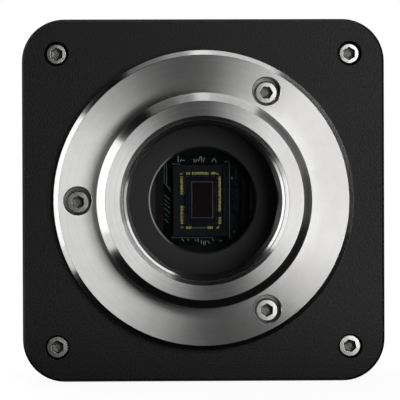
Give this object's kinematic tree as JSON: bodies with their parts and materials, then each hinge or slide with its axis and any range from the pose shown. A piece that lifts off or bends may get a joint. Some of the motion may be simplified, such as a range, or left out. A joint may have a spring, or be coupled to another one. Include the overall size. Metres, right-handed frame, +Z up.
{
  "type": "microscope camera",
  "caption": "Square black digital camera for a microscope, with a bright round threaded lens mount on its front and a data socket in its back.",
  "frame": {"origin": "centre of the lens seat, the front face of the mount ring's boss, on the lens axis", "axes": "-Y along the lens axis, out of the lens mount; +Z up, towards the top of the picture; +X to the right as seen from the front"},
  "size_m": [0.06, 0.0455, 0.06],
  "materials": {
    "black_anodised": "blasted and black anodised aluminium",
    "turned_steel": "fine-turned stainless steel",
    "screw_steel": "plain stainless steel",
    "filter_glass": "clear filter glass",
    "seal_rubber": "soft black rubber",
    "circuit_board": "dark green solder mask",
    "carrier_ceramic": "dark glazed ceramic",
    "silicon": "polished silicon",
    "gold": "gold plate",
    "lid_glass": "clear coated glass",
    "chip_plastic": "moulded black resin",
    "capacitor": "brown ceramic with tinned ends",
    "connector_plastic": "pale moulded plastic",
    "brass": "nickel-plated brass",
    "can_metal": "plain metal lid",
    "ferrite": "grey moulded ferrite",
    "tin_shell": "tinned steel sheet",
    "socket_plastic": "moulded black plastic",
    "lamp_resin": "pale resin",
    "clear_plastic": "clear acrylic"
  },
  "bodies": {
    "root": {"front_cover": "black_anodised", "body_shell": "black_anodised", "rear_cover": "black_anodised", "front_cover_screws": "screw_steel", "rear_cover_screws": "screw_steel", "mount_flange": "turned_steel", "flange_screws": "screw_steel", "window_glass": "filter_glass", "dust_seal": "seal_rubber", "sensor_package": "carrier_ceramic", "sensor_die": "silicon", "bond_fingers": "gold", "sensor_cover_glass": "lid_glass", "sensor_board": "circuit_board", "sensor_board_capacitors": "capacitor", "board_connector_plug": "connector_plastic", "board_connector_socket": "connector_plastic", "board_standoffs": "brass", "main_board": "circuit_board", "main_board_screws": "screw_steel", "image_processor": "chip_plastic", "memory_chip": "chip_plastic", "crystal_oscillator": "can_metal", "power_inductor": "ferrite", "main_board_capacitors": "capacitor", "usb_socket_shell": "tin_shell", "usb_socket_insulator": "socket_plastic", "usb_contacts": "gold", "status_led": "lamp_resin", "light_pipe": "clear_plastic"}
  },
  "joints": []
}
